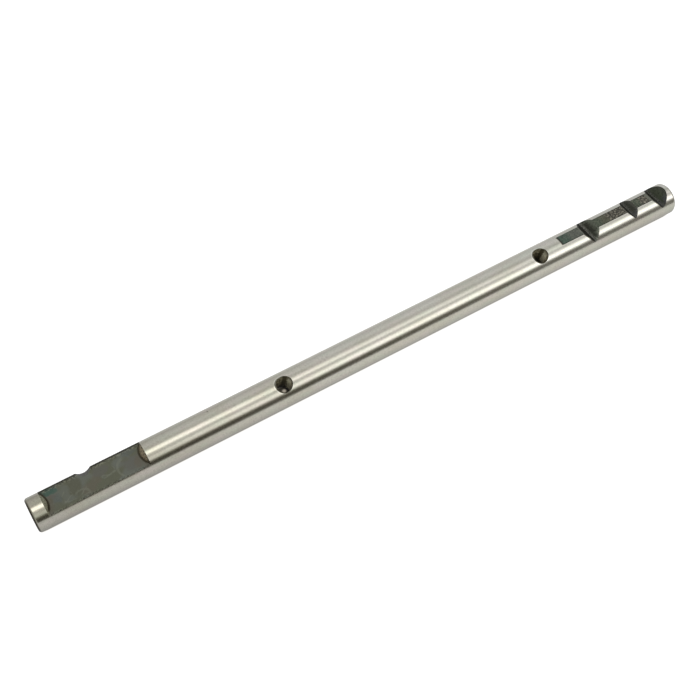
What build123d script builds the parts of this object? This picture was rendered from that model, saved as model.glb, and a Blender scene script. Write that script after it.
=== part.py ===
from build123d import *
import os
from math import cos, hypot, radians, sin, tan

# Gear selector rail of a gearbox: one ground steel rod that slides lengthways in the housing.
# A pocket near one end takes the change lever's finger, two cross holes take the pins of the
# shift forks, and three detent notches near the other end are where a sprung plunger drops in.
# Millimetres. The rod's axis is X, from the stub end to the detent end, with the origin on the
# axis at mid-length. +Z is the way the pocket's floor and the detent notches face.

# Ground rod
rail_length = 345.4
shank_diameter = 16.0
end_round = 1.4

# Pocket for the lever's finger, milled across the top behind a full-round stub
stub_length = 6.33
pocket_length = 46.85
pocket_depth = 3.72
pocket_wall_run = 2.1       # how far each cone-shaped end wall leans in from rim to floor

# Round groove across the back edge of the pocket's floor, for the interlock pin
groove_station = 27.0       # from the stub end
groove_radius = 4.0
groove_depth = 2.45         # below the shank's skin
groove_lean = 42.0          # degrees from +Z towards +Y

# Cross holes for the fork pins, drilled right through
fork_hole_diameter = 7.6
fork_hole_lean = 16.8       # degrees from +Z towards -Y
fork_hole_edge_break = 0.25
first_fork_hole_station = 121.2     # from the stub end
second_fork_hole_station = 263.45

# Narrow flat that the detent notches are cut through
witness_flat_depth = 0.53
witness_flat_setback = 68.85    # its far end, from the detent end

# Detent notches, straight across the rail
detent_angle = 94.0         # between the two walls of a notch
detent_root_radius = 0.8
detent_setbacks = (51.05, 25.35, 7.95)  # from the detent end
detent_depths = (4.4, 3.1, 4.4)         # shank's skin to the rounded root

# How far a cutter runs past the metal that it cuts
overrun = 2.0

# An edge counts as a hole's mouth when these parts of its length lie this close to both surfaces
mouth_samples = (0.0, 0.3, 0.6, 0.9)
mouth_closeness = 0.01

shank_radius = shank_diameter / 2
pocket_floor_height = shank_radius - pocket_depth
cutter_reach = shank_radius + overrun


def from_stub_end(station):
    """Place along X of a station measured from the stub end."""
    return station - rail_length / 2


def from_detent_end(setback):
    """Place along X of a setback measured from the detent end."""
    return rail_length / 2 - setback


def ground_rod():
    """The full-round rod with both ends rounded over."""
    rod = Cylinder(shank_radius, rail_length, rotation=(0, 90, 0))
    return fillet(rod.edges().filter_by(GeomType.CIRCLE), end_round)


def above(height, start, end):
    """Block over everything higher than height, from start to end along X."""
    rise = cutter_reach - height
    middle = Pos((start + end) / 2, 0, height + rise / 2)
    return middle * Box(end - start, 2 * cutter_reach, rise)


def pocket_cutter():
    """Flat floor below, and end walls that are cones about the rod's axis."""
    start = from_stub_end(stub_length)
    end = start + pocket_length
    lean = pocket_wall_run / pocket_depth
    inner_radius = pocket_floor_height - overrun
    inner_run = (shank_radius - inner_radius) * lean
    outer_run = (cutter_reach - shank_radius) * lean
    section = Polygon(
        (start - outer_run, cutter_reach),
        (start + inner_run, inner_radius),
        (end - inner_run, inner_radius),
        (end + outer_run, cutter_reach),
        align=None,
    )
    ring = revolve(Plane.XZ * section, Axis.X)
    return ring & above(pocket_floor_height, start - outer_run, end + outer_run)


def groove_cutter():
    """Round bar laid across the back edge of the pocket's floor."""
    bar = Cylinder(groove_radius, 2 * cutter_reach, rotation=(90, 0, 0))
    bar = Pos(0, 0, shank_radius - groove_depth + groove_radius) * bar
    return Pos(from_stub_end(groove_station), 0, 0) * Rot(-groove_lean, 0, 0) * bar


def fork_hole_cutter(station):
    """Drill right through the rod, leaning towards -Y."""
    drill = Cylinder(fork_hole_diameter / 2, 2 * cutter_reach)
    return Pos(from_stub_end(station), 0, 0) * Rot(fork_hole_lean, 0, 0) * drill


def on_fork_hole_mouth(edge, station):
    """Whether the edge is where the hole's wall meets the shank's skin."""
    lean = radians(fork_hole_lean)
    for part_way in mouth_samples:
        point = edge @ part_way
        across = point.Y * cos(lean) + point.Z * sin(lean)
        from_drill_axis = hypot(point.X - from_stub_end(station), across)
        from_rail_axis = hypot(point.Y, point.Z)
        off_wall = abs(from_drill_axis - fork_hole_diameter / 2)
        off_skin = abs(from_rail_axis - shank_radius)
        if max(off_wall, off_skin) > mouth_closeness:
            return False
    return True


def witness_flat_cutter():
    """Shallow flat from its far end to the last detent notch."""
    start = from_detent_end(witness_flat_setback)
    end = from_detent_end(min(detent_setbacks))
    return above(shank_radius - witness_flat_depth, start, end)


def detent_cutter(setback, depth):
    """Wedge with a rounded root, straight across the rod."""
    half_angle = radians(detent_angle / 2)
    root = shank_radius - depth
    apex = root - detent_root_radius * (1 / sin(half_angle) - 1)
    half_width = (cutter_reach - apex) * tan(half_angle)
    wedge = Polygon((0, apex), (half_width, cutter_reach), (-half_width, cutter_reach), align=None)
    wedge = fillet(wedge.vertices().sort_by(Axis.Y)[0], detent_root_radius)
    across = extrude(Plane.XZ * wedge, cutter_reach, both=True)
    return Pos(from_detent_end(setback), 0, 0) * across


def selector_rail():
    """The whole rail as one solid."""
    rail = ground_rod() - pocket_cutter() - groove_cutter()
    for station in (first_fork_hole_station, second_fork_hole_station):
        rail = rail - fork_hole_cutter(station)
        mouths = [edge for edge in rail.edges() if on_fork_hole_mouth(edge, station)]
        rail = chamfer(mouths, fork_hole_edge_break)
    rail = rail - witness_flat_cutter()
    for setback, depth in zip(detent_setbacks, detent_depths):
        rail = rail - detent_cutter(setback, depth)
    return rail.solids()[0]


os.makedirs("parts", exist_ok=True)
finished_rail = selector_rail()
print("selector_rail volume", round(finished_rail.volume, 1), "mm3, centre", finished_rail.center())
export_step(finished_rail, "parts/selector_rail.step")
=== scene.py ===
import bpy
import math
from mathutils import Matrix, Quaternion, Vector


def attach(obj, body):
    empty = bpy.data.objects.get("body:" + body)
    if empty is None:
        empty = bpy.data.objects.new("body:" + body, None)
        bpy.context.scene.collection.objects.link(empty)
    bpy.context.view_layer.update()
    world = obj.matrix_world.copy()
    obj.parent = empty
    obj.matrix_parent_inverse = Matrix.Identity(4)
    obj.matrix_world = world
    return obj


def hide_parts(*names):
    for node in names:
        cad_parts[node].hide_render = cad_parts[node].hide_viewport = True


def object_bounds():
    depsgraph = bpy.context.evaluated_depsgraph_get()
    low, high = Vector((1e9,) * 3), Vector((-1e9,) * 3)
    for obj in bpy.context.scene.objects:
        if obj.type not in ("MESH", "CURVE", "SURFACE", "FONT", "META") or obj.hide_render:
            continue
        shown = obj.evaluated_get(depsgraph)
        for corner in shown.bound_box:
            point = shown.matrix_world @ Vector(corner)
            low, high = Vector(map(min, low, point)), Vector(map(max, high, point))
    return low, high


# Gear selector rail: one ground steel rod with blackened cuts, lying on a pale floor.
# The rail runs along X from the stub end to the detent end, and its flats face up.

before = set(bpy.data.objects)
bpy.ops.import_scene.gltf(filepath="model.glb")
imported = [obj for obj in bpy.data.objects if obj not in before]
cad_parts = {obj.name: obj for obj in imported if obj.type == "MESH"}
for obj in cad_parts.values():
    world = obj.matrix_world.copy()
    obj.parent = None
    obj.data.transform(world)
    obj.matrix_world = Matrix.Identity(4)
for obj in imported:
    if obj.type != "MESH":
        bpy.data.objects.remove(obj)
cadLow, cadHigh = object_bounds()
mm = 0.001
railLength = cadHigh.x - cadLow.x
shankRadius = (cadHigh.z - cadLow.z) / 2
print("Frame loaded: rail", round(railLength / mm, 1), "mm long, radius", round(shankRadius / mm, 2), "mm")


# Nodes: a Wire is what comes out of one, and sums of wires are written like sums of numbers

class Wire:
    def __init__(self, socket):
        self.socket = socket
        self.tree = socket.id_data

    def __add__(self, other):
        return calc("ADD", self, other)

    def __sub__(self, other):
        return calc("SUBTRACT", self, other)

    def __rsub__(self, other):
        return calc("SUBTRACT", other, self)

    def __mul__(self, other):
        return calc("MULTIPLY", self, other)

    def __truediv__(self, other):
        return calc("DIVIDE", self, other)

    def __rtruediv__(self, other):
        return calc("DIVIDE", other, self)

    def __pow__(self, other):
        return calc("POWER", self, other)

    def __lt__(self, other):
        return calc("LESS_THAN", self, other)

    def __gt__(self, other):
        return calc("GREATER_THAN", self, other)

    def __neg__(self):
        return calc("MULTIPLY", self, -1.0)

    def __abs__(self):
        return calc("ABSOLUTE", self)


def feed(value, socket):
    if isinstance(value, Wire):
        value.tree.links.new(value.socket, socket)
    elif value is not None:
        socket.default_value = value


def addNode(tree, kind, settings=None, inputs=None):
    node = tree.nodes.new(kind)
    for name, value in (settings or {}).items():
        setattr(node, name, value)
    for name, value in (inputs or {}).items():
        feed(value, node.inputs[name])
    return node


def wireFrom(tree, kind, settings=None, inputs=None, output=0):
    return Wire(addNode(tree, kind, settings, inputs).outputs[output])


def calc(operation, *values):
    tree = next(value.tree for value in values if isinstance(value, Wire))
    return wireFrom(tree, "ShaderNodeMath", {"operation": operation}, dict(enumerate(values)))


def offAxis(first, second):
    # distance from an axis, by the two distances across it
    return calc("SQRT", first ** 2 + second ** 2)


def joinXyz(tree, x=0.0, y=0.0, z=0.0):
    return wireFrom(tree, "ShaderNodeCombineXYZ", None, {"X": x, "Y": y, "Z": z})


def splitXyz(place):
    node = addNode(place.tree, "ShaderNodeSeparateXYZ", None, {"Vector": place})
    return [Wire(socket) for socket in node.outputs]


def addObject(name, data):
    thing = bpy.data.objects.new(name, data)
    bpy.context.scene.collection.objects.link(thing)
    return thing


# Rail: the rod and the cutters that are taken out of it

rail = {
    "endRound": 1.4 * mm,
    "stubLength": 6.33 * mm,
    "pocketLength": 46.85 * mm,
    "pocketDepth": 3.72 * mm,
    "pocketWallRun": 2.1 * mm,         # how far each end wall leans in from rim to floor
    "grooveStation": 27.0 * mm,        # stations count from the stub end
    "grooveRadius": 4.0 * mm,
    "grooveDepth": 2.45 * mm,
    "grooveLean": 42.0,                # degrees from +Z towards +Y
    "holeRadius": 3.8 * mm,
    "holeLean": 16.8,                  # degrees from +Z towards -Y
    "holeEdgeBreak": 0.25 * mm,
    "holeStations": (121.2 * mm, 263.45 * mm),
    "flatDepth": 0.53 * mm,
    "flatSetback": 68.85 * mm,         # setbacks count from the detent end
    "notchAngle": 94.0,
    "notchRootRadius": 0.8 * mm,
    "notchSetbacks": (51.05 * mm, 25.35 * mm, 7.95 * mm),
    "notchDepths": (4.4 * mm, 3.1 * mm, 4.4 * mm),
    "facets": 256,                     # around the rod
    "holeFacets": 96,
    "arcSteps": 10,                    # along each rounded corner
    "sharpAngle": 14.0,                # edges that turn more than this stay crisp
    "overrun": 2.0 * mm,               # how far a cutter runs past the metal
    "weld": 0.02 * mm,                 # slivers narrower than this are closed
}
acrossRail = (math.pi / 2, 0.0, 0.0)   # lays an upright shape down across the rail

# the same places for the finishes, in millimetres
halfLength = railLength / mm / 2
radiusMm = shankRadius / mm
holeRadiusMm = rail["holeRadius"] / mm
pocketStart = rail["stubLength"] / mm - halfLength
pocketEnd = pocketStart + rail["pocketLength"] / mm
pocketFloorZ = radiusMm - rail["pocketDepth"] / mm
pocketWallLean = rail["pocketWallRun"] / rail["pocketDepth"]
flatStart = halfLength - rail["flatSetback"] / mm
flatZ = radiusMm - rail["flatDepth"] / mm
flatHalf = math.sqrt(radiusMm ** 2 - flatZ ** 2)
holePlaces = [station / mm - halfLength for station in rail["holeStations"]]
notchPlaces = [halfLength - setback / mm for setback in rail["notchSetbacks"]]
notchHalfAngle = math.radians(rail["notchAngle"] / 2)
notchSlope = math.tan(notchHalfAngle)


def notchApex(number):
    # height at which a notch's two walls would meet without the rounded root
    rise = 1 / math.sin(notchHalfAngle) - 1
    return radiusMm - rail["notchDepths"][number] / mm - rail["notchRootRadius"] / mm * rise


def pointXyz(tree):
    return splitXyz(wireFrom(tree, "GeometryNodeInputPosition"))


def isCut(tree):
    # 1 on the faces that a cutter left
    return wireFrom(tree, "GeometryNodeInputNamedAttribute", {"data_type": "FLOAT"}, {
        "Name": "cut"}, "Attribute")


def roundedOutline(tree, sizes, corners, isRounded, radius):
    outline = wireFrom(tree, "GeometryNodeCurvePrimitiveQuadrilateral", {"mode": "POINTS"}, {
        f"Point {number}": joinXyz(tree, *corner) for number, corner in enumerate(corners, 1)})
    return wireFrom(tree, "GeometryNodeFilletCurve", {"mode": "POLY"}, {
        "Curve": outline, "Count": sizes["arcSteps"], "Radius": isRounded * radius})


def roundedRod(tree, sizes):
    # an open profile with two rounded corners, flattened onto the axis and swept with its height as radius
    start, end, radius = sizes["stubEnd"], sizes["detentEnd"], sizes["shankRadius"]
    low = radius * 0.5      # anywhere under the rounded corners
    corners = ((start, 0.0, low), (start, 0.0, radius), (end, 0.0, radius), (end, 0.0, low))
    isMiddle = abs(wireFrom(tree, "GeometryNodeInputIndex") - 1.5) < 1.0       # points 1 and 2 of 0 to 3
    profile = roundedOutline(tree, sizes, corners, isMiddle, sizes["endRound"])
    profile = wireFrom(tree, "GeometryNodeSetSplineCyclic", None, {"Geometry": profile, "Cyclic": False})
    x, y, z = pointXyz(tree)
    # the low ends go, and the 1.01 spares the corners' own first and last points
    profile = wireFrom(tree, "GeometryNodeDeleteGeometry", {"domain": "POINT"}, {
        "Geometry": profile, "Selection": z < radius - sizes["endRound"] * 1.01})
    kept = addNode(tree, "GeometryNodeCaptureAttribute", {"domain": "POINT"})
    kept.capture_items.new("FLOAT", "Radius")
    feed(profile, kept.inputs["Geometry"])
    feed(z, kept.inputs["Radius"])
    onAxis = wireFrom(tree, "GeometryNodeSetPosition", None, {
        "Geometry": Wire(kept.outputs["Geometry"]), "Position": joinXyz(tree, x)})
    ring = wireFrom(tree, "GeometryNodeCurvePrimitiveCircle", None, {
        "Resolution": sizes["facets"], "Radius": 1.0})
    return wireFrom(tree, "GeometryNodeCurveToMesh", None, {
        "Curve": onAxis, "Profile Curve": ring, "Scale": Wire(kept.outputs["Radius"]), "Fill Caps": True})


def moved(geometry, place=None, turn=None):
    return wireFrom(geometry.tree, "GeometryNodeTransform", None, {
        "Geometry": geometry, "Translation": place, "Rotation": turn})


def blackened(geometry, material):
    # marks a cutter, so that the faces it leaves keep its finish
    tree = geometry.tree
    finished = wireFrom(tree, "GeometryNodeSetMaterial", None, {"Geometry": geometry, "Material": material})
    return wireFrom(tree, "GeometryNodeStoreNamedAttribute", {"data_type": "FLOAT", "domain": "FACE"}, {
        "Geometry": finished, "Name": "cut", "Value": 1.0})


def cutAway(body, cutter):
    return wireFrom(body.tree, "GeometryNodeMeshBoolean", {"operation": "DIFFERENCE", "solver": "EXACT"}, {
        "Mesh 1": body, "Mesh 2": cutter})


def blockAbove(tree, sizes, depth, start, end):
    # everything less deep than depth, from start to end
    height = sizes["shankRadius"] - sizes[depth]
    rise = sizes["reach"] - height
    block = wireFrom(tree, "GeometryNodeMeshCube", None, {
        "Size": joinXyz(tree, end - start, sizes["reach"] * 2.0, rise)})
    return moved(block, joinXyz(tree, (start + end) * 0.5, 0.0, rise * 0.5 + height))


def endWallCone(tree, sizes, rim, side):
    # solid cone about the axis that stays when the pocket is cut, reaching past the skin and below the floor
    tipRadius = sizes["shankRadius"] - sizes["pocketDepth"] - sizes["overrun"]
    cone = wireFrom(tree, "GeometryNodeMeshCone", None, {
        "Vertices": sizes["facets"], "Radius Top": tipRadius, "Radius Bottom": sizes["reach"],
        "Depth": (sizes["reach"] - tipRadius) * sizes["wallLean"]})
    start = rim - sizes["overrun"] * sizes["wallLean"] * side
    return moved(cone, joinXyz(tree, start), (0.0, side * math.pi / 2, 0.0))


def pocketCutter(tree, sizes, finishes):
    start = sizes["stubEnd"] + sizes["stubLength"]
    end = start + sizes["pocketLength"]
    # the block runs under the cones, a little short of where they meet its top
    spare = sizes["overrun"] * sizes["wallLean"] * 0.9
    cutter = blackened(blockAbove(tree, sizes, "pocketDepth", start - spare, end + spare), finishes["floor"])
    for rim, side in ((start, 1), (end, -1)):
        cutter = cutAway(cutter, blackened(endWallCone(tree, sizes, rim, side), finishes["endWall"]))
    return cutter


def grooveCutter(tree, sizes, finishes):
    bar = wireFrom(tree, "GeometryNodeMeshCylinder", None, {
        "Vertices": sizes["holeFacets"], "Radius": sizes["grooveRadius"], "Depth": sizes["reach"] * 2.0})
    middle = sizes["shankRadius"] - sizes["grooveDepth"] + sizes["grooveRadius"]
    raised = moved(bar, joinXyz(tree, 0.0, 0.0, middle), acrossRail)
    place = joinXyz(tree, sizes["stubEnd"] + sizes["grooveStation"])
    turn = joinXyz(tree, -calc("RADIANS", sizes["grooveLean"]))
    return blackened(moved(raised, place, turn), finishes["groove"])


def holeCutter(tree, sizes, finishes):
    # rings from the middle out: the bore's end, the edge break that follows the skin, and a cap above it
    drill = wireFrom(tree, "GeometryNodeMeshCylinder", None, {
        "Vertices": sizes["holeFacets"], "Side Segments": 5, "Radius": 1.0, "Depth": 2.0})
    x, y, z = pointXyz(tree)
    level = abs(z)      # 0.2, 0.6 and 1.0 at the three rings
    isRim = level > 0.4
    isCap = level > 0.8
    radius = isRim * (sizes["holeEdgeBreak"] * 2.0) + sizes["holeRadius"]
    across = y * radius
    step = (isRim * 2.0 - 1.0) * sizes["holeEdgeBreak"]
    skin = calc("SQRT", sizes["shankRadius"] ** 2 - across ** 2) + step
    height = calc("SIGN", z) * (skin + isCap * (sizes["reach"] - skin))
    shaped = wireFrom(tree, "GeometryNodeSetPosition", None, {
        "Geometry": blackened(drill, finishes["bore"]),
        "Position": joinXyz(tree, x * radius, across, height)})
    return moved(shaped, None, joinXyz(tree, calc("RADIANS", sizes["holeLean"])))


def flatCutter(tree, sizes, finishes):
    start = sizes["detentEnd"] - sizes["flatSetback"]
    end = sizes["detentEnd"] - sizes["lastNotchSetback"]
    return blackened(blockAbove(tree, sizes, "flatDepth", start, end), finishes["flat"])


def notchCutter(tree, sizes, finishes):
    # V with a rounded root at its own origin, straight across the rod
    reach = sizes["reach"]
    half = calc("RADIANS", sizes["notchAngle"]) * 0.5
    width = reach * calc("TANGENT", half)
    apex = -((1.0 / calc("SINE", half) - 1.0) * sizes["notchRootRadius"])
    top = apex + reach
    corners = ((0.0, apex), (width, top), (0.0, top), (-width, top))
    isApex = wireFrom(tree, "GeometryNodeInputIndex") < 0.5
    vee = roundedOutline(tree, sizes, corners, isApex, sizes["notchRootRadius"])
    line = wireFrom(tree, "GeometryNodeCurvePrimitiveLine", None, {
        "Start": joinXyz(tree, 0.0, 0.0, -reach), "End": joinXyz(tree, 0.0, 0.0, reach)})
    wedge = wireFrom(tree, "GeometryNodeCurveToMesh", None, {
        "Curve": line, "Profile Curve": vee, "Fill Caps": True})
    return blackened(moved(wedge, None, acrossRail), finishes["notch"])


def onEach(places, cutter):
    spots = wireFrom(cutter.tree, "GeometryNodeObjectInfo", {"transform_space": "ORIGINAL"}, {
        "Object": places}, "Geometry")
    return wireFrom(cutter.tree, "GeometryNodeInstanceOnPoints", None, {"Points": spots, "Instance": cutter})


def crispEdges(tree, geometry, sizes):
    turned = wireFrom(tree, "GeometryNodeInputMeshEdgeAngle", output="Unsigned Angle")
    smooth = wireFrom(tree, "GeometryNodeSetShadeSmooth", {"domain": "FACE"}, {
        "Geometry": geometry, "Shade Smooth": True})
    isSharp = turned > calc("RADIANS", sizes["sharpAngle"])
    return wireFrom(tree, "GeometryNodeSetShadeSmooth", {"domain": "EDGE"}, {
        "Geometry": smooth, "Selection": isSharp, "Shade Smooth": False})


def skinNormals(tree, geometry, sizes):
    # the ground skin gets the exact normals of a rounded rod, so that its facets never show in a reflection
    x, y, z = pointXyz(tree)
    past = calc("MAXIMUM", abs(x) - (sizes["detentEnd"] - sizes["endRound"]), 0.0)
    radius = calc("MAXIMUM", offAxis(y, z), 1e-6)      # never a division by zero
    core = sizes["shankRadius"] - sizes["endRound"]
    outward = calc("MAXIMUM", radius - core, 0.0) / radius
    exact = joinXyz(tree, calc("SIGN", x) * past, y * outward, z * outward)
    exact = wireFrom(tree, "ShaderNodeVectorMath", {"operation": "NORMALIZE"}, {"Vector": exact})
    chosen = wireFrom(tree, "GeometryNodeSwitch", {"input_type": "VECTOR"}, {
        "Switch": isCut(tree) > 0.5, "False": exact,
        "True": wireFrom(tree, "GeometryNodeInputNormal", output="Normal")})
    return wireFrom(tree, "GeometryNodeSetMeshNormal", {"mode": "FREE", "domain": "CORNER"}, {
        "Mesh": geometry, "Custom Normal": chosen})


def railTree(finishes, inputs):
    tree = bpy.data.node_groups.new("selectorRail", "GeometryNodeTree")
    tree.interface.new_socket("Geometry", in_out="OUTPUT", socket_type="NodeSocketGeometry")
    for name, value in inputs.items():
        kind = {float: "NodeSocketFloat", int: "NodeSocketInt"}.get(type(value), "NodeSocketObject")
        tree.interface.new_socket(name, in_out="INPUT", socket_type=kind)
    sizes = {socket.name: Wire(socket) for socket in addNode(tree, "NodeGroupInput").outputs}
    sizes["stubEnd"] = sizes["railLength"] * -0.5
    sizes["detentEnd"] = sizes["railLength"] * 0.5
    sizes["reach"] = sizes["shankRadius"] + sizes["overrun"]     # of the cutters, from the axis
    sizes["wallLean"] = sizes["pocketWallRun"] / sizes["pocketDepth"]

    body = roundedRod(tree, sizes)
    for cutter in (pocketCutter, grooveCutter, flatCutter):
        body = cutAway(body, cutter(tree, sizes, finishes))
    for places, cutter in (("holePlaces", holeCutter), ("notchPlaces", notchCutter)):
        body = cutAway(body, onEach(sizes[places], cutter(tree, sizes, finishes)))
    body = wireFrom(tree, "GeometryNodeMergeByDistance", None, {"Geometry": body, "Distance": sizes["weld"]})
    body = crispEdges(tree, body, sizes)
    body = skinNormals(tree, body, sizes)
    body = wireFrom(tree, "GeometryNodeRealizeInstances", None, {"Geometry": body})
    body = wireFrom(tree, "GeometryNodeSetMaterial", None, {
        "Geometry": body, "Selection": isCut(tree) < 0.5, "Material": finishes["ground"]})
    feed(body, addNode(tree, "NodeGroupOutput").inputs[0])
    return tree


def pointsObject(name, places):
    # bare points that the tree puts a cutter on
    mesh = bpy.data.meshes.new(name)
    mesh.from_pydata(places, [], [])
    return addObject(name, mesh)


def makeRail(finishes):
    half = railLength / 2
    holes = [(station - half, 0, 0) for station in rail["holeStations"]]
    cuts = zip(rail["notchSetbacks"], rail["notchDepths"])
    roots = [(half - setback, 0, shankRadius - depth) for setback, depth in cuts]
    inputs = {name: value for name, value in rail.items() if not isinstance(value, tuple)}
    inputs["railLength"] = railLength
    inputs["shankRadius"] = shankRadius
    inputs["lastNotchSetback"] = min(rail["notchSetbacks"])
    inputs["holePlaces"] = pointsObject("holePlaces", holes)
    inputs["notchPlaces"] = pointsObject("notchPlaces", roots)
    worker = addObject("railWorker", bpy.data.meshes.new("railWorker"))
    modifier = worker.modifiers.new("rail", "NODES")
    modifier.node_group = railTree(finishes, inputs)
    for item in modifier.node_group.interface.items_tree:
        if item.in_out == "INPUT":
            modifier[item.identifier] = inputs[item.name]
    evaluated = worker.evaluated_get(bpy.context.evaluated_depsgraph_get())
    piece = addObject("selectorRail", bpy.data.meshes.new_from_object(evaluated))
    for helper in (worker, inputs["holePlaces"], inputs["notchPlaces"]):
        bpy.data.objects.remove(helper)
    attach(piece, "root")
    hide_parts("selector_rail")
    return piece


# Finishes: every pattern is placed in millimetres of the object's own coordinates

def newFinish(name, finish):
    material = bpy.data.materials.new(name)
    material.use_nodes = True
    tree = material.node_tree
    for setting, value in finish["settings"].items():
        tree.nodes["Principled BSDF"].inputs[setting].default_value = value
    place = wireFrom(tree, "ShaderNodeTexCoord", output="Object")
    return material, wireFrom(tree, "ShaderNodeVectorMath", {"operation": "SCALE"}, {
        "Vector": place, "Scale": 1 / mm})


def noise(place, perX, perY, perZ, detail=2.0, roughness=0.5):
    # perX, perY and perZ are how many patches there are in each millimetre
    stretched = wireFrom(place.tree, "ShaderNodeMapping", None, {
        "Vector": place, "Scale": (perX, perY, perZ)})
    return wireFrom(place.tree, "ShaderNodeTexNoise", None, {
        "Vector": stretched, "Scale": 1.0, "Detail": detail, "Roughness": roughness})


def noises(place, finish):
    return {name: noise(place, *layer) for name, layer in finish["layers"].items()}


def span(value, start, end, low=0.0, high=1.0):
    # smooth step from low to high while value goes from start to end
    return wireFrom(value.tree, "ShaderNodeMapRange", {"interpolation_type": "SMOOTHSTEP"}, {
        "Value": value, "From Min": start, "From Max": end, "To Min": low, "To Max": high})


def near(value, middle, reach, fade):
    # 1 within reach of the middle, falling to 0 over fade
    return span(abs(value - middle), reach + fade, reach)


def either(first, second):
    return calc("MAXIMUM", first, second)


def pick(isSecond, values):
    # the first of two values, or the second where isSecond is 1
    return calc("MULTIPLY_ADD", isSecond, values[1] - values[0], values[0])


def swayed(value, layer, reach):
    # moves a place to and fro with a noise, by half of reach at most
    return calc("MULTIPLY_ADD", layer, reach, value - reach / 2)


def blend(amount, first, second):
    first, second = ((*tone, 1) if isinstance(tone, tuple) else tone for tone in (first, second))
    return wireFrom(amount.tree, "ShaderNodeMix", {"data_type": "RGBA", "blend_type": "MIX"}, {
        0: amount, 6: first, 7: second}, 2)


def painted(colour, tones, *coats):
    # lays named tones over a colour, each where and as strongly as its amount says
    for amount, name in coats:
        colour = blend(amount, colour, tones[name])
    return colour


def tinted(colour, layers, finish):
    # each tint: the noise that it follows, where it starts and is full, its strength and its tone
    return painted(colour, finish, *(
        (span(layers[layer], start, full, 0.0, strength), tone)
        for layer, start, full, strength, tone in finish["tints"]))


def spotAt(x, y, spot):
    # round spot: its middle in X and Y, radius of its core, radius with its soft edge, and strength
    middleX, middleY, core, outer, strength = spot
    return span(offAxis(x - middleX, y - middleY), outer, core, 0.0, strength)


def dress(material, colour, layers, finish):
    # the roughness is a base and a share of each noise, and one noise makes the relief
    shader = material.node_tree.nodes["Principled BSDF"]
    roughness, shares = finish["roughness"]
    for name, share in shares.items():
        roughness = calc("MULTIPLY_ADD", layers[name], share, roughness)
    name, depth = finish["relief"]
    relief = wireFrom(colour.tree, "ShaderNodeBump", None, {"Distance": depth * mm, "Height": layers[name]})
    for name, value in (("Base Color", colour), ("Roughness", roughness), ("Normal", relief)):
        feed(value, shader.inputs[name])
    return material


def fromHole(x, y, z):
    # a place seen from the nearer fork hole: along the rail, across it and up the hole
    cosLean = math.cos(math.radians(rail["holeLean"]))
    sinLean = math.sin(math.radians(rail["holeLean"]))
    isSecond = x > sum(holePlaces) / 2
    return x - pick(isSecond, holePlaces), y * cosLean + z * sinLean, z * cosLean - y * sinLean, isSecond


# In the dictionaries below a layer is a noise: patches per mm along X, Y and Z, detail and roughness.
# A name that ends in From or Side is where something starts to show and where it is full, in mm, and a
# name in Grain is the same in the strength of a noise. Two more numbers are the amounts at both places.
# A name in Reach is a half width and a fade, and a name in Place has the middle before them.

steel = {
    "settings": {"Metallic": 1.0},
    "tone": (0.5, 0.486, 0.424),
    "warm": (0.47, 0.45, 0.375),
    "pink": (0.53, 0.474, 0.436),
    "green": (0.47, 0.496, 0.406),
    "line": (0.3, 0.29, 0.25),
    "turned": (0.3, 0.29, 0.25),       # end faces
    "round": (0.13, 0.118, 0.085),     # painted dark reflection on the rounded edges at the ends
    "stubRound": (0.05, 0.044, 0.03),  # painted dark reflection on the stub's one
    "speck": (0.1, 0.09, 0.07),
    "lip": (0.62, 0.61, 0.55),         # painted highlight on the rims of the pocket's end walls
    "ring": (0.78, 0.77, 0.7),         # painted highlight: a bright line round each fork hole
    # painted shade round the fork holes, beside the notches and where the witness flat starts
    "paintedShade": (0.05, 0.046, 0.03),
    "layers": {
        "bands": (0.16, 0.008, 0.008),
        "clouds": (0.045, 0.09, 0.09, 3.0, 0.6),
        "patches": (0.11, 0.3, 0.3),
        "grain": (1.3, 1.3, 1.3, 2.0, 0.6),
    },
    "grinding": (2.6, 0.03, 0.03, 3.0, 0.6),
    "tints": (
        ("clouds", 0.35, 0.7, 1.0, "warm"),
        ("patches", 0.52, 0.68, 0.45, "pink"),
        ("patches", 0.48, 0.32, 0.45, "green"),
        ("grinding", 0.3, 0.75, 0.16, "line"),
        ("grain", 0.42, 0.75, 0.34, "line"),
    ),
    "roughness": (0.14, {"bands": 0.07, "grinding": 0.06, "ends": 0.12}),
    "relief": ("grinding", 0.008),
    "turnedFrom": (1.1, 0.4),          # in from either end
    "roundFrom": (1.6, 1.2),           # in from the skin
    "stubFrom": (0.9, 0.4),            # in from the stub's end
    "stubSide": (4.0, 1.0),            # Y
    "speckSpacing": 6.0,
    "speckFrom": (0.045, 0.02),        # share of the spacing
    "speckGrain": (0.5, 0.6),
    "lipReach": (0.22, 0.2),
    "lipGrain": (0.4, 0.6, 0.0, 0.4),
    "rimShadeShift": (0.34, 0.1),          # moves the painted shade round a hole towards the stub and towards -Y
    "rimShadeFrom": (0.08, -0.05),         # out from the hole's mouth
    "ringPlace": (0.22, 0.12, 0.2),    # out from the mouth
    "ringGrain": (0.35, 0.55, 0.0, 0.45),
    "notchShadeWidths": (0.42, 0.18, 0.4),   # painted shade beside each notch, on the side towards the stub
    "notchShadeSide": (-1.6, -2.6, 0.0, 0.9),    # Y
    "notchShadeFade": 0.12,
    "notchShadeFrom": (0.0, -1.0),           # along X from the notch's root
    "flatLineReach": (0.15, 0.12),     # painted shadow line where the witness flat starts
    "flatLineFades": (0.3, 0.2),       # in from its ends and down from the flat
    "flatLineStrength": 0.85,
    "nick": (-87.3, 2.8, 0.2, 0.5, 0.7),
}


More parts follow.
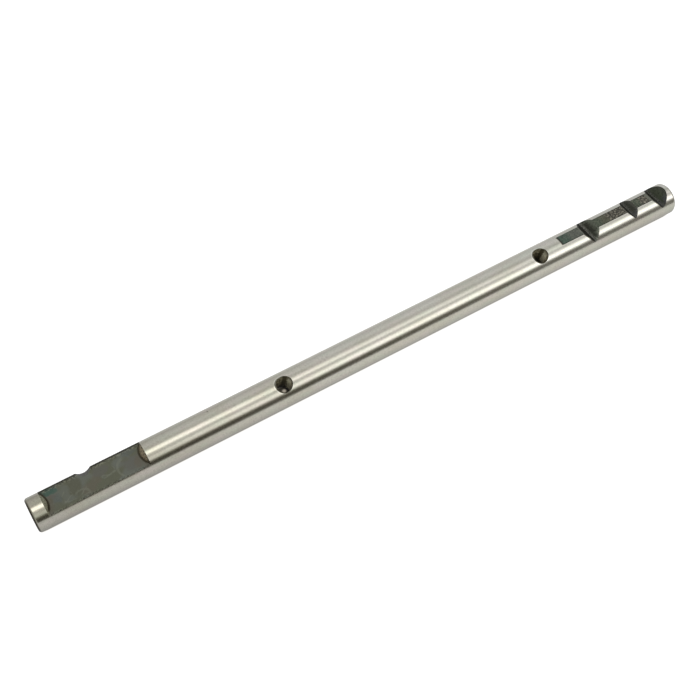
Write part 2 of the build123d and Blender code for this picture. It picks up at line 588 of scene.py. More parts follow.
def groundSteel():
    material, place = newFinish("groundSteel", steel)
    x, y, z = splitXyz(place)
    layers = noises(place, steel)
    fromAxis = offAxis(y, z)
    # grinding lines run round the rod and turn into rings on the end faces
    layers["grinding"] = noise(joinXyz(place.tree, x + fromAxis, y, z), *steel["grinding"])
    cells = wireFrom(place.tree, "ShaderNodeTexVoronoi", None, {
        "Vector": place, "Scale": 1 / steel["speckSpacing"]})
    specks = span(cells, *steel["speckFrom"]) * span(layers["clouds"], *steel["speckGrain"])

    # turned end faces, with a painted dark reflection on the rounded edges, the darkest at the stub
    ends = span(halfLength - abs(x), *steel["turnedFrom"])
    layers["ends"] = ends
    edges = ends * span(radiusMm - fromAxis, *steel["roundFrom"])
    stub = span(x + halfLength, *steel["stubFrom"]) * span(y, *steel["stubSide"])

    # painted highlight on the rims of the pocket's end walls
    rims = either(near(x, pocketStart, *steel["lipReach"]), near(x, pocketEnd, *steel["lipReach"]))
    lipHighlights = rims * (z > pocketFloorZ) * span(layers["grain"], *steel["lipGrain"])

    # each fork hole's rim gets painted shade on the side towards the stub, inside a thin painted highlight
    # line
    along, across = fromHole(x, y, z)[:2]
    shiftX, shiftY = steel["rimShadeShift"]
    mouth = (rail["holeRadius"] + rail["holeEdgeBreak"]) / mm
    fromRim = offAxis(along + shiftX, across + shiftY) - mouth
    ring = near(fromRim, *steel["ringPlace"]) * span(layers["grain"], *steel["ringGrain"])
    wearAndShade = span(fromRim, *steel["rimShadeFrom"])
    coats = [
        (specks, "speck"), (ends, "turned"), (edges, "round"), (stub, "stubRound"),
        (lipHighlights, "lip"), (ring, "ring"), (wearAndShade, "paintedShade"),
    ]

    # painted shade beside the notches on the side towards -Y, and a painted shadow line where the witness
    # flat starts
    for number, width in enumerate(steel["notchShadeWidths"]):
        middle = notchPlaces[number]
        lip = calc("MULTIPLY_ADD", z - notchApex(number), -notchSlope, middle)
        notchShade = near(lip - x, width / 2, width / 2, steel["notchShadeFade"])
        beside = span(x - middle, *steel["notchShadeFrom"])
        coats.append((notchShade * span(y, *steel["notchShadeSide"]) * beside, "paintedShade"))
    reach, fade = steel["flatLineReach"]
    inwards, down = steel["flatLineFades"]
    line = near(x, flatStart - reach, reach, fade) * span(abs(y), flatHalf, flatHalf - inwards)
    coats.append((line * span(z, flatZ - down, flatZ, 0.0, steel["flatLineStrength"]), "paintedShade"))
    coats.append((spotAt(x, y, steel["nick"]) * (z > 0.0), "speck"))
    return dress(material, painted(tinted(steel["tone"], layers, steel), steel, *coats), layers, steel)


floorFinish = {
    "settings": {"Metallic": 0.55},
    "grey": (0.105, 0.113, 0.094),
    "olive": (0.088, 0.092, 0.062),
    "purple": (0.093, 0.091, 0.079),
    "blue": (0.08, 0.092, 0.085),
    "brown": (0.1, 0.088, 0.066),
    "darkOlive": (0.076, 0.076, 0.05),
    "teal": (0.034, 0.08, 0.062),
    "rust": (0.108, 0.084, 0.074),
    "seam": (0.175, 0.185, 0.145),
    "edge": (0.012, 0.011, 0.007),
    # painted shade at the foot of the end walls
    "foot": (0.028, 0.022, 0.008),
    "darkCorner": (0.022, 0.034, 0.024),     # back corner beside the stub
    "chip": (0.24, 0.24, 0.18),
    # tone, middle in X and Y, reach in X and Y and strength of each soft stain
    "stains": (
        ("grey", -156.0, 0.0, 2.2, 5.0, 0.8),
        ("blue", -160.5, -1.0, 2.2, 2.6, 0.7),
        ("olive", -162.5, -4.2, 2.6, 2.2, 0.7),
        ("darkOlive", -151.6, 0.6, 3.0, 5.0, 0.8),
        ("brown", -146.5, -3.2, 3.2, 2.6, 0.6),
        ("brown", -142.5, -0.5, 2.2, 2.8, 0.6),
        ("purple", -139.5, 2.2, 3.6, 2.6, 0.75),
        ("olive", -135.5, -3.0, 2.6, 3.0, 0.7),
        ("purple", -127.0, -1.0, 3.4, 3.6, 0.75),
        ("blue", -125.5, 4.3, 3.0, 1.4, 0.6),
        ("olive", -128.3, 2.2, 1.6, 1.6, 0.6),
        ("brown", -124.0, -2.5, 1.6, 3.0, 0.7),
        ("purple", -161.4, 1.2, 1.6, 1.0, 0.8),
        ("rust", -163.0, 1.7, 1.0, 0.8, 0.7),
        ("darkOlive", -163.2, -0.2, 0.7, 0.9, 0.7),
        ("teal", -163.4, 4.6, 3.6, 2.1, 0.85),
        ("teal", -160.7, 3.7, 1.4, 1.2, 0.6),
    ),
    "stainFrom": (1.3, 0.7),           # share of its reach
    "stainSway": (3.6, 3.0),           # in X and Y
    "seamPlace": (0.52, 0.005, 0.018),     # in the noise of the patches
    "seamGrain": (0.5, 0.62, 0.0, 0.4),
    # pale arcs: middle in X and Y, radius, and the side that shows, in degrees from +X
    "arcs": ((-127.7, -2.0, 5.1, 180.0), (-150.0, -4.6, 2.9, 75.0)),
    "arcReach": (0.25, 0.5),
    "arcSway": (0.8, 2.0),
    "arcGrain": (0.3, 0.5, 0.0, 0.38),
    "layers": {
        "warp": (0.3, 0.3, 0.3),
        "sway": (0.21, 0.4, 0.2),
        "patch": (0.13, 0.16, 0.1, 1.0),
        "grain": (1.2, 1.7, 1.7, 3.0, 0.7),
        "fine": (6.0, 6.0, 6.0, 2.0, 0.6),
    },
    "patchGrain": (0.4, 0.6),
    "tints": (("fine", 0.4, 0.75, 0.15, "chip"),),
    "roughness": (0.25, {"grain": 0.2}),
    "relief": ("fine", 0.01),
    "cornerFrom": (3.5, 0.8),          # brown corners in front, out from the end walls
    "cornerSide": (3.0, 0.0, 0.0, 0.7),    # Y
    "darkCornerFrom": (1.6, 0.2),
    "darkCornerSide": (3.0, 4.6, 0.0, 0.8),
    "backSide": (3.9, 6.0),            # Y of the chipped strips
    "frontSide": (-5.4, -6.6),
    "chipGrain": (0.5, 0.6, 0.0, 0.7),
    "frontChips": 0.5,                 # share of the back's
    "pitGrain": (0.5, 0.4, 0.0, 0.8),
    "lineSide": (5.7, 6.1, 0.0, 0.85),
    "lineSway": 1.0,
    "footWidths": (0.4, 0.6),          # painted shade: dark line at the foot of the end wall by the stub and of the other
    "footFrom": (0.2, -0.15),          # out from that width
    "footSway": (0.6, 1.5),            # in X and Y
    "footFront": (-5.8, -4.0),         # Y
    "footBack": (5.45, 3.85, 0.5, 1.0),
}


def stainCoats(x, y):
    for tone, middleX, middleY, reachX, reachY, strength in floorFinish["stains"]:
        away = offAxis((x - middleX) / reachX, (y - middleY) / reachY)
        yield span(away, *floorFinish["stainFrom"], 0.0, strength), tone


def paleSeams(x, y, layers):
    # faint seams between the patches, and the arcs that a cutter left
    seams = near(layers["patch"], *floorFinish["seamPlace"])
    seams = seams * span(layers["warp"], *floorFinish["seamGrain"])
    swayX, swayY = floorFinish["arcSway"]
    wavyX = swayed(x, layers["grain"], swayX)
    wavyY = swayed(y, layers["warp"], swayY)
    for middleX, middleY, radius, facing in floorFinish["arcs"]:
        beside = wavyX - middleX
        above = wavyY - middleY
        outward = beside * math.cos(math.radians(facing)) + above * math.sin(math.radians(facing))
        arc = near(offAxis(beside, above), radius, *floorFinish["arcReach"]) * span(outward, 0.0, radius / 2)
        seams = either(seams, arc * span(layers["fine"], *floorFinish["arcGrain"]))
    return seams


def pocketFloor():
    material, place = newFinish("pocketFloor", floorFinish)
    x, y, z = splitXyz(place)
    layers = noises(place, floorFinish)
    grain = layers["grain"]
    swayX, swayY = floorFinish["stainSway"]
    wavyX = swayed(x, layers["warp"], swayX)
    wavyY = swayed(y, layers["sway"], swayY)
    patches = span(layers["patch"], *floorFinish["patchGrain"])
    colour = blend(patches, floorFinish["grey"], floorFinish["olive"])
    colour = painted(colour, floorFinish, *stainCoats(wavyX, wavyY))

    # brown corners, and a dark back corner beside the stub, by the distance along X to each end wall
    run = (radiusMm - offAxis(y, z)) * pocketWallLean
    fromStart = x - pocketStart - run
    fromEnd = pocketEnd - x - run
    corner = span(calc("MINIMUM", fromStart, fromEnd), *floorFinish["cornerFrom"])
    corner = corner * span(wavyY, *floorFinish["cornerSide"])
    darkCorner = span(fromStart, *floorFinish["darkCornerFrom"]) * span(wavyY, *floorFinish["darkCornerSide"])

    # chips and pits at the back and the front, and a dark ragged line at the back
    back = span(y, *floorFinish["backSide"])
    front = span(y, *floorFinish["frontSide"])
    chips = either(back, front * floorFinish["frontChips"]) * span(grain, *floorFinish["chipGrain"])
    pits = either(back, front) * span(grain, *floorFinish["pitGrain"])
    line = span(swayed(y, grain, floorFinish["lineSway"]), *floorFinish["lineSide"])
    coats = [
        (paleSeams(x, y, layers), "seam"), (corner, "brown"), (darkCorner, "darkCorner"),
        (chips, "chip"), (pits, "edge"), (line, "edge"),
    ]

    # painted shade: a dark line at the foot of each end wall
    swayX, swayY = floorFinish["footSway"]
    fade = span(y, *floorFinish["footFront"]) * span(swayed(y, grain, swayY), *floorFinish["footBack"])
    for distance, width in zip((fromStart, fromEnd), floorFinish["footWidths"]):
        foot = span(swayed(distance, grain, swayX) - width, *floorFinish["footFrom"])
        coats.append((foot * fade, "foot"))
    colour = tinted(painted(colour, floorFinish, *coats), layers, floorFinish)
    return dress(material, colour, layers, floorFinish)


wallFinish = {
    "settings": {"Metallic": 0.5},
    "olive": (0.17, 0.165, 0.11),      # nearer the stub
    "oliveLight": (0.32, 0.31, 0.22),
    "brown": (0.12, 0.1, 0.065),       # the other wall
    "brownLight": (0.34, 0.28, 0.18),
    # painted shade at the wall's foot
    "foot": (0.03, 0.022, 0.008),
    "pit": (0.02, 0.016, 0.008),
    "layers": {"cloud": (1.6, 1.6, 1.6, 3.0, 0.65)},
    "roughness": (0.3, {"cloud": 0.25}),
    "relief": ("cloud", 0.03),
    "lightGrain": (0.42, 0.6),
    "footHeights": (0.8, 0.35),        # of the wall nearer the stub and of the other
    "footFrom": (0.35, -0.2),          # up from that height
    "footSide": (-5.8, -4.0),          # Y
    "rimFrom": (7.3, 7.6),             # distance from the rail's axis
    "rimGrain": (0.56, 0.46),
    "backSide": (2.8, 4.4, 0.0, 0.9),  # Y of the dark back of both walls
    "frontSide": (-4.0, -5.0, 0.0, 0.8),
}


def endWall():
    # speckled wall with painted shade at its foot and a pitted rim
    material, place = newFinish("endWall", wallFinish)
    x, y, z = splitXyz(place)
    layers = noises(place, wallFinish)
    isFar = x > (pocketStart + pocketEnd) / 2
    mottle = span(layers["cloud"], *wallFinish["lightGrain"])
    olive = blend(mottle, wallFinish["olive"], wallFinish["oliveLight"])
    brown = blend(mottle, wallFinish["brown"], wallFinish["brownLight"])
    height = z - pick(isFar, [pocketFloorZ + rise for rise in wallFinish["footHeights"]])
    foot = span(height, *wallFinish["footFrom"]) * either(isFar, span(y, *wallFinish["footSide"]))
    rim = span(offAxis(y, z), *wallFinish["rimFrom"]) * span(layers["cloud"], *wallFinish["rimGrain"])
    back = span(y, *wallFinish["backSide"])
    front = span(y, *wallFinish["frontSide"])
    coats = (foot, "foot"), (rim * isFar, "pit"), (back, "pit"), (front * isFar, "pit")
    colour = painted(blend(isFar, olive, brown), wallFinish, *coats)
    return dress(material, colour, layers, wallFinish)


grooveFinish = {
    "settings": {"Metallic": 0.2},
    "tone": (0.05, 0.05, 0.042),
    "dark": (0.022, 0.02, 0.015),
    "layers": {
        "cloud": (1.2, 1.2, 1.2, 3.0, 0.6),
        "turns": (3.0, 0.2, 3.0),      # lines that the cutter left along the groove
    },
    "tints": (("cloud", 0.35, 0.65, 1.0, "dark"),),
    "roughness": (0.4, {"turns": 0.2}),
    "relief": ("turns", 0.015),
}


def interlockGroove():
    material, place = newFinish("interlockGroove", grooveFinish)
    layers = noises(place, grooveFinish)
    return dress(material, tinted(grooveFinish["tone"], layers, grooveFinish), layers, grooveFinish)


boreFinish = {
    "settings": {"Metallic": 0.0, "Specular IOR Level": 0.08},
    "tone": (0.47, 0.43, 0.29),
    "dark": (0.1, 0.088, 0.05),
    # painted shade deep down the bore
    "deep": (0.006, 0.005, 0.002),
    "rim": (0.05, 0.046, 0.034),
    # painted highlight on the edge break towards the stub and +Y
    "paleRim": (0.3, 0.3, 0.25),
    "streakHighlight": (0.7, 0.67, 0.5),        # painted highlight: a streak along the wall on the side away from the stub
    # painted shade near the bore's mouth
    "mouth": (0.036, 0.032, 0.018),
    "layers": {"cloud": (0.9, 0.9, 0.9, 3.0, 0.6)},
    "turns": (3.5, 1.0, 1.0),          # rings that the drill left
    "tints": (("cloud", 0.4, 0.6, 1.0, "dark"),),
    "roughness": (0.5, {"turns": 0.2}),
    "relief": ("turns", 0.015),
    # angles are degrees round the hole from +X, and there is one for each hole
    "darkAngles": (55.0, 34.0),        # dark line along the wall, beside the streak
    "darkReach": (8.0, 15.0),
    "streakAngles": (15.0, 0.0),
    "streakReach": (13.0, 12.0),
    "streakSway": 24.0,
    "streakFrom": (7.5, 5.5),          # up the hole from the rail's axis
    "mouthFrom": (3.5, 6.5, 0.0, 0.6),
    "deepEnds": (-4.5, -2.0),          # for each hole
    "deepFrom": (1.0, -2.0),           # up from there
    "paleFrom": (2.4, 4.2, 0.0, 0.7),  # painted highlight round the rim, towards the stub and +Y
    "rimFrom": (0.02, 0.06),           # out from the bore
}


def forkHoleBore():
    material, place = newFinish("forkHoleBore", boreFinish)
    along, across, up, isSecond = fromHole(*splitXyz(place))
    layers = noises(place, boreFinish)
    layers["turns"] = noise(joinXyz(place.tree, up), *boreFinish["turns"])
    angle = calc("DEGREES", calc("ARCTAN2", across, along))
    line = near(angle, pick(isSecond, boreFinish["darkAngles"]), *boreFinish["darkReach"])
    wavy = swayed(angle, layers["cloud"], boreFinish["streakSway"])
    streak = near(wavy, pick(isSecond, boreFinish["streakAngles"]), *boreFinish["streakReach"])
    streak = streak * span(up, *boreFinish["streakFrom"])
    # painted shade near the mouth and deep down the bore
    mouth = span(up, *boreFinish["mouthFrom"])
    deep = span(up - pick(isSecond, boreFinish["deepEnds"]), *boreFinish["deepFrom"])
    coats = (line, "dark"), (streak, "streakHighlight"), (mouth, "mouth"), (deep, "deep")
    colour = painted(tinted(boreFinish["tone"], layers, boreFinish), boreFinish, *coats)
    # the edge break, with a painted highlight towards the stub and +Y
    rim = blend(span(across - along, *boreFinish["paleFrom"]), boreFinish["rim"], boreFinish["paleRim"])
    onRim = span(offAxis(along, across) - holeRadiusMm, *boreFinish["rimFrom"])
    return dress(material, blend(onRim, colour, rim), layers, boreFinish)


flatFinish = {
    "settings": {"Metallic": 0.55},
    "teal": (0.045, 0.078, 0.055),
    "grey": (0.085, 0.094, 0.075),
    "green": (0.056, 0.07, 0.043),
    "olive": (0.068, 0.068, 0.04),
    "brown": (0.052, 0.047, 0.032),
    "edge": (0.016, 0.015, 0.01),
    "chip": (0.34, 0.31, 0.24),
    # bare metal with a painted highlight beside the notches' lips
    "bareAndSheen": (0.125, 0.13, 0.1),
    "layers": {"warp": (0.3, 0.3, 0.3), "grain": (1.1, 1.5, 1.5, 3.0, 0.68)},
    "roughness": (0.25, {"grain": 0.2}),
    "relief": ("grain", 0.015),
    "sway": 6.0,
    "greyFrom": (2.5, 8.5),            # along X from the flat's start
    "greenFrom": (-2.0, 2.0),          # along X from the first notch
    "oliveFrom": (6.0, 11.0),
    "brownFrom": (10.0, 14.0),
    "mossPlace": (4.0, 2.0, 2.0),      # along X from the second notch
    "mossKeeps": 0.35,                 # share of the wear that is left there
    "chipGrain": (0.5, 0.68),
    "chipStrengths": (0.16, 0.91),     # where the flat is whole and where it is worn
    "pitGrain": (0.53, 0.36),
    "pitStrengths": (0.5, 1.0),
    "fleck": (156.1, -1.9, 0.35, 0.75, 0.6),
    "bareWidths": (0.5, 0.4, 1.5),     # beside the lip of each notch, on the side towards the stub
    "bareStrengths": (0.45, 0.25, 0.85),
    "bareFrom": (-0.3, 0.1),
    "bareEnd": 0.5,                    # past the lip
    "borderSway": 0.5,
    "borderFrom": (0.75, 0.15, 0.0, 0.75),     # in from the flat's long edges
    "borderSide": (0.5, -0.5, 0.35, 1.0),      # Y
    "startFrom": (1.1, 0.6, 0.0, 0.9),
}


def witnessFlat():
    material, place = newFinish("witnessFlat", flatFinish)
    x, y, z = splitXyz(place)
    layers = noises(place, flatFinish)
    grain = layers["grain"]
    wavyX = swayed(x, layers["warp"], flatFinish["sway"])
    fromFirst = wavyX - notchPlaces[0]
    green = span(x - notchPlaces[0], *flatFinish["greenFrom"])
    olive = span(fromFirst, *flatFinish["oliveFrom"])
    wearAndShade = span(fromFirst, *flatFinish["brownFrom"])
    moss = near(wavyX - notchPlaces[1], *flatFinish["mossPlace"])
    colour = blend(span(wavyX - flatStart, *flatFinish["greyFrom"]), flatFinish["teal"], flatFinish["grey"])
    coats = [(green, "green"), (olive, "olive"), (wearAndShade, "brown"), (moss, "green")]

    # chips, pits and a pale fleck, and bare metal with a painted highlight beside the notches
    wearAndShade = wearAndShade * span(moss, 0.0, 1.0, 1.0, flatFinish["mossKeeps"])
    chips = span(grain, *flatFinish["chipGrain"]) * pick(wearAndShade, flatFinish["chipStrengths"])
    pits = span(grain, *flatFinish["pitGrain"]) * pick(wearAndShade, flatFinish["pitStrengths"])
    coats += [(chips, "chip"), (pits, "edge"), (spotAt(x, y, flatFinish["fleck"]), "chip")]
    for number, width in enumerate(flatFinish["bareWidths"]):
        lip = notchPlaces[number] - (flatZ - notchApex(number)) * notchSlope
        bareAndSheen = span(x - (lip - width), *flatFinish["bareFrom"], 0.0, flatFinish["bareStrengths"][number])
        coats.append((bareAndSheen * (x < lip + flatFinish["bareEnd"]), "bareAndSheen"))

    # dark border along both sides, fainter towards +Y, and painted shadow across the start
    inward = flatHalf - swayed(abs(y), grain, flatFinish["borderSway"])
    border = span(inward, *flatFinish["borderFrom"]) * span(y, *flatFinish["borderSide"])
    coats.append((either(border, span(x - flatStart, *flatFinish["startFrom"])), "edge"))
    return dress(material, painted(colour, flatFinish, *coats), layers, flatFinish)


notchFinish = {
    "settings": {"Metallic": 0.25, "Specular IOR Level": 0.2},
    "shade": (0.008, 0.008, 0.005),    # painted shade on the walls nearer the stub
    # painted shade along each root
    "root": (0.03, 0.03, 0.024),
    "blue": (0.055, 0.056, 0.066),
    # each notch's wall, the painted highlight on its lip and on the lip's corner towards -Y, the painted
    # highlight line beside its root and its scores' strength
    "notches": (
        {"wall": (0.058, 0.063, 0.046), "lip": (0.1, 0.112, 0.086), "corner": (0.215, 0.23, 0.185),
         "rootSheen": (0.15, 0.15, 0.132), "scored": 0.55},
        {"wall": (0.046, 0.048, 0.036), "lip": (0.068, 0.069, 0.057), "corner": (0.13, 0.13, 0.124),
         "rootSheen": (0.085, 0.085, 0.075), "scored": 0.2},
        {"wall": (0.05, 0.06, 0.037), "lip": (0.05, 0.054, 0.041), "corner": (0.064, 0.066, 0.06),
         "rootSheen": (0.075, 0.075, 0.066), "scored": 0.2},
    ),
    "layers": {
        "cloud": (0.6, 0.5, 0.6, 3.0, 0.6),
        "grain": (2.2, 1.2, 2.2, 2.0, 0.6),
        "scores": (4.0, 0.12, 4.0),    # cutter lines along the root
    },
    "tints": (("scores", 0.45, 0.75, 0.3, "shade"), ("grain", 0.5, 0.35, 0.6, "shade")),
    "roughness": (0.35, {"scores": 0.2}),
    "relief": ("scores", 0.02),
    "lipFrom": (1.9, 0.1),             # in from the edge
    "lipSway": 1.6,
    "cornerSide": (-2.0, -5.0),        # Y
    # along X from each root
    "rootSheenPlace": (0.5, 0.25, 0.35),
    "rootSheenGrain": (0.38, 0.55),
    "scorePlace": (1.9, 0.35, 0.6),
    "scoreGrain": (0.35, 0.5),
    "rootFrom": (0.15, -0.1),
    "shadeFrom": (-0.5, -1.1),
    "ownPlace": (0.0, 7.0, 0.1),       # where a notch's own colours are
    "blueSide": (-1.0, -4.0),          # Y
    "blueFrom": (6.0, 8.0),            # along X from the first notch
    "blueGrain": (0.35, 0.6, 0.0, 0.6),
}


def detentNotch():
    material, place = newFinish("detentNotch", notchFinish)
    x, y, z = splitXyz(place)
    layers = noises(place, notchFinish)
    toEdge = calc("MINIMUM", radiusMm - offAxis(y, z), flatZ - z)
    nearLip = span(swayed(toEdge, layers["cloud"], notchFinish["lipSway"]), *notchFinish["lipFrom"])
    atCorner = span(y, *notchFinish["cornerSide"])
    shine = span(layers["grain"], *notchFinish["rootSheenGrain"])
    patchy = span(layers["cloud"], *notchFinish["scoreGrain"])
    colour = notchFinish["shade"]
    for middle, own in zip(notchPlaces, notchFinish["notches"]):
        away = x - middle
        # painted highlight near the lip, brighter at its corner towards -Y
        wall = blend(nearLip, own["wall"], blend(atCorner, own["lip"], own["corner"]))
        # scores, a painted highlight beside the root, and painted shade along the root and on the wall
        # nearer the stub
        wall = painted(
            wall, {**notchFinish, **own},
            (near(away, *notchFinish["scorePlace"]) * patchy * own["scored"], "shade"),
            (near(away, *notchFinish["rootSheenPlace"]) * shine, "rootSheen"),
            (span(away, *notchFinish["rootFrom"]), "root"),
            (span(away, *notchFinish["shadeFrom"]), "shade"))
        colour = blend(near(away, *notchFinish["ownPlace"]), colour, wall)
    bluish = span(x - notchPlaces[0], *notchFinish["blueFrom"]) * span(y, *notchFinish["blueSide"])
    bluish = bluish * span(layers["cloud"], *notchFinish["blueGrain"])
    colour = tinted(blend(bluish, colour, notchFinish["blue"]), layers, notchFinish)
    return dress(material, colour, layers, notchFinish)


finishes = {
    "ground": groundSteel(),
    "floor": pocketFloor(),
    "endWall": endWall(),
    "groove": interlockGroove(),
    "bore": forkHoleBore(),
    "flat": witnessFlat(),
    "notch": detentNotch(),
}
print("Finishes made:", ", ".join(finishes))
piece = makeRail(finishes)
print("Rail made:", len(piece.data.vertices), "vertices,", len(piece.data.polygons), "faces")


# Stage: pale floor, painted studio light and the photograph's camera

stage = {
    "settings": {"Metallic": 0.0, "Roughness": 1.0, "Specular IOR Level": 0.0},        # of the floor
    "floorSize": 6.0,
    "floorColour": (0.3, 0.3, 0.3),
    "floorGlow": 0.92,
    # painted shadow: the floor doesn't glow under the rail and is dark there
    "underFront": (-5.1, -4.1),        # Y
    "underBack": (12.0, 6.0),
    "underEnds": (4.0, 5.0),           # in from the rail's ends, and fade
    "shadowColour": (0.05, 0.045, 0.035),
    # spots of light under the first fork hole
    "beams": ((-49.1, 4.4, 0.35, 1.35, 0.3), (-50.0, 4.3, 1.0, 2.0, 0.025)),
    "beamColour": (1.0, 0.9, 0.74),
    "cameraPlace": Vector((-164.3, -268.2, 409.8)) * mm,
    "cameraAim": Vector((-14.13, 3.06, 0.0)) * mm,
    "cameraRoll": 2.8,                 # degrees
    "lens": 56.95,
    "sensorWidth": 36.0,
    "roomLight": 1.1,                  # what lights the floor, all round
    "outsideLight": 1.0,               # what the camera sees past the floor's edge
}

# how bright the floor looks to the steel: by place along X and by distance from the rail, in mm
mirrorFloor = {
    "alongX": ((-170, 0.80), (-115, 0.90), (-82, 0.98), (-31, 1.06), (20, 1.12), (105, 1.12), (150, 1.05)),
    # darker near the rail: the rail's painted shadow on the floor, as the steel sees it
    "outwards": ((0, 0.1), (4, 0.3), (6, 0.45), (10, 0.72), (16, 0.89), (25, 0.98), (400, 1.0)),
    "sides": (0.8, 1.0),               # the whole floor behind the rail and in front of it
    "farLight": 0.12,                  # where the pale floor ends, towards -Y
    "farSide": (-105.0, -190.0),       # Y
    "farFrom": (-80.0, -20.0),         # X
}

# brightness of the studio as the steel sees it, by angle from straight up towards +Y (rows)
# and by lean towards +X (one column for each of studioLeans, in degrees)
studioLeans = (0, 8, 18, 33)
studioTints = ((0.985, 0.988, 0.9), (1.0, 0.993, 0.97), (1.0, 1.0, 1.0), (0.99, 1.0, 1.03))
shadeTints = ((1.12, 1.0, 0.68), (1.12, 1.0, 0.7), (1.07, 1.0, 0.8), (1.05, 1.0, 0.9))
shadeBelow = 0.4                       # brightness under which the shade tints count
upperTint = (0.985, 1.0, 1.03)         # from upperAngle on
upperAngle = 45
studioPeak = 4.0                       # the ramps hold each brightness as a share of this
studioLight = {
    100: (0.36, 0.50, 0.60, 0.80),
    90: (0.40, 0.58, 0.70, 0.88),
    80: (0.53, 0.74, 0.81, 0.93),
    62: (0.60, 0.86, 0.92, 1.00),
    45: (0.70, 0.96, 1.05, 1.09),
    22: (0.62, 0.78, 0.83, 0.73),
    14: (0.78, 0.83, 0.86, 0.86),
    8: (2.30, 1.70, 1.25, 1.15),
    -8: (2.90, 2.38, 1.95, 1.34),
    -14: (1.20, 1.25, 1.20, 1.08),
    -20: (0.66, 0.84, 0.87, 0.93),
    -28: (0.64, 0.90, 1.03, 1.12),
    -36: (0.78, 1.40, 2.00, 2.20),
    -46: (0.76, 1.40, 2.50, 2.90),
    -54: (0.52, 1.02, 1.90, 3.00),
    -59: (0.13, 0.27, 0.97, 1.55),
    -66: (0.04, 0.06, 0.22, 0.46),
    -74: (0.035, 0.05, 0.13, 0.29),
    -86: (0.05, 0.07, 0.12, 0.24),
    -92: (0.60, 0.60, 0.60, 0.60),
}
darkEnds = (((-4.0, -32.0), (0.14, 0.14, 0.13)), ((45.0, 65.0), (0.16, 0.16, 0.15)))   # leans and colour


def stepped(value, points):
    # straight lines through (place, amount) points, held level past the ends
    result = points[0][1]
    for (start, low), (end, high) in zip(points, points[1:]):
        rise = wireFrom(value.tree, "ShaderNodeMapRange", None, {
            "Value": value, "From Min": start, "From Max": end, "To Min": 0.0, "To Max": high - low})
        result = rise + result
    return result


def floorInSteel(x, y):
    # brightness of the floor in the steel's reflections
    bright = stepped(x, mirrorFloor["alongX"]) * stepped(abs(y), mirrorFloor["outwards"])
    bright = bright * pick(y < 0.0, mirrorFloor["sides"])
    far = span(y, *mirrorFloor["farSide"]) * span(x, *mirrorFloor["farFrom"])
    return bright * span(far, 0.0, 1.0, 1.0, mirrorFloor["farLight"])


def mixShaders(amount, first, second):
    return wireFrom(amount.tree, "ShaderNodeMixShader", None, {0: amount, 1: first, 2: second})


def makeFloor():
    half = stage["floorSize"] / 2
    mesh = bpy.data.meshes.new("floor")
    corners = [(x, y, -shankRadius) for x, y in ((-half, -half), (half, -half), (half, half), (-half, half))]
    mesh.from_pydata(corners, [], [(0, 1, 2, 3)])
    material, place = newFinish("paleFloor", stage)
    x, y, z = splitXyz(place)
    inset, fade = stage["underEnds"]
    # painted shadow under the rail, where the floor doesn't glow
    shadowUnder = span(y, *stage["underFront"]) * span(y, *stage["underBack"])
    shadowUnder = shadowUnder * near(x, 0.0, halfLength - inset, fade)
    glow = span(shadowUnder, 0.0, 1.0, stage["floorGlow"], 0.0)
    for beam in stage["beams"]:
        glow = glow + spotAt(x, y, beam)
    shader = material.node_tree.nodes["Principled BSDF"]
    feed(blend(shadowUnder, stage["floorColour"], stage["shadowColour"]), shader.inputs["Base Color"])
    feed(blend(shadowUnder, (1.0, 1.0, 1.0), stage["beamColour"]), shader.inputs["Emission Color"])
    feed(glow, shader.inputs["Emission Strength"])
    mirrored = wireFrom(place.tree, "ShaderNodeEmission", None, {"Strength": floorInSteel(x, y)})
    isGlossy = wireFrom(place.tree, "ShaderNodeLightPath", output="Is Glossy Ray")
    surface = mixShaders(isGlossy, Wire(shader.outputs[0]), mirrored)
    feed(surface, material.node_tree.nodes["Material Output"].inputs["Surface"])
    mesh.materials.append(material)
    floor = addObject("floor", mesh)


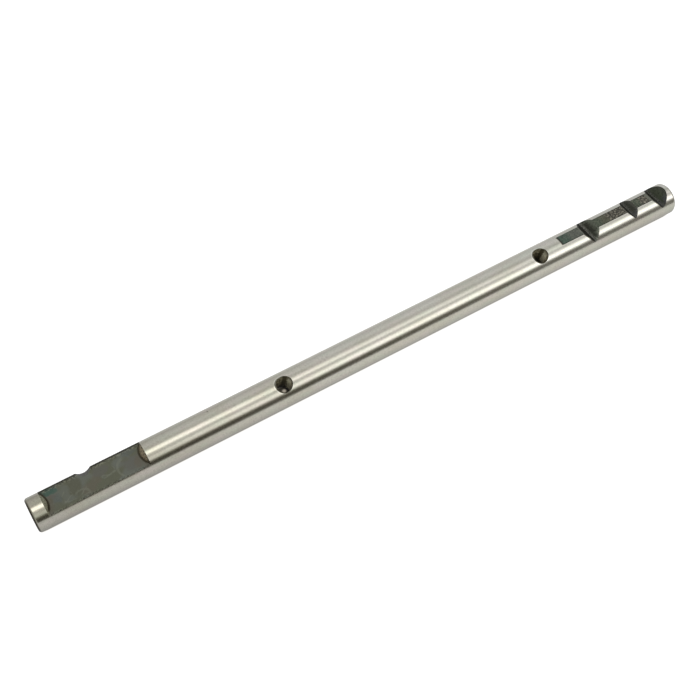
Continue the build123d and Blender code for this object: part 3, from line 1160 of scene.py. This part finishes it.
def makeCamera():
    camera = addObject("photoCamera", bpy.data.cameras.new("photoCamera"))
    toAim = stage["cameraAim"] - stage["cameraPlace"]
    roll = Quaternion(toAim.normalized(), math.radians(stage["cameraRoll"]))
    camera.location = stage["cameraPlace"]
    camera.rotation_mode = "QUATERNION"
    camera.rotation_quaternion = roll @ toAim.to_track_quat("-Z", "Y")
    camera.data.lens = stage["lens"]
    camera.data.sensor_width = stage["sensorWidth"]
    camera.data.clip_start = 10 * mm
    bpy.context.scene.camera = camera


def lightRamp(around, column):
    # one column of the table, painted round the rail's axis
    node = addNode(around.tree, "ShaderNodeValToRGB", None, {"Fac": around})
    stops = sorted((angle, row[column]) for angle, row in studioLight.items())
    ramp = node.color_ramp
    while len(ramp.elements) < len(stops):
        ramp.elements.new(0.5)
    for element, (angle, light) in zip(ramp.elements, stops):
        element.position = (angle + 180) / 360
    for element, (angle, light) in zip(ramp.elements, stops):
        shade = (1, 1, 1)
        if light < shadeBelow:
            shade = shadeTints[column]
        elif angle >= upperAngle:
            shade = upperTint
        tone = [light / studioPeak * tint * dim for tint, dim in zip(studioTints[column], shade)]
        element.color = (*tone, 1)
    return Wire(node.outputs["Color"])


def background(tree, strength, colour=(1, 1, 1, 1)):
    return wireFrom(tree, "ShaderNodeBackground", None, {"Color": colour, "Strength": strength})


def makeWorld():
    world = bpy.data.worlds.new("studio")
    bpy.context.scene.world = world
    world.use_nodes = True
    tree = world.node_tree
    x, y, z = splitXyz(wireFrom(tree, "ShaderNodeTexCoord", output="Generated"))
    around = calc("ARCTAN2", y, z) * (0.5 / math.pi) + 0.5
    lean = calc("DEGREES", calc("ARCSINE", x))
    light = lightRamp(around, 0)
    for column in range(1, len(studioLeans)):
        amount = wireFrom(tree, "ShaderNodeMapRange", None, {
            "Value": lean, "From Min": studioLeans[column - 1], "From Max": studioLeans[column]})
        light = blend(amount, light, lightRamp(around, column))
    for leans, colour in darkEnds:
        light = blend(span(lean, *leans), light, colour)
    isGlossy, isCamera = (
        wireFrom(tree, "ShaderNodeLightPath", output=f"Is {kind} Ray") for kind in ("Glossy", "Camera"))
    seen = mixShaders(isGlossy, background(tree, stage["roomLight"]), background(tree, studioPeak, light))
    seen = mixShaders(isCamera, seen, background(tree, stage["outsideLight"]))
    feed(seen, tree.nodes["World Output"].inputs["Surface"])


makeFloor()
makeCamera()
makeWorld()
bpy.context.scene.view_settings.view_transform = "Standard"
print("Stage made: floor, camera and studio light")
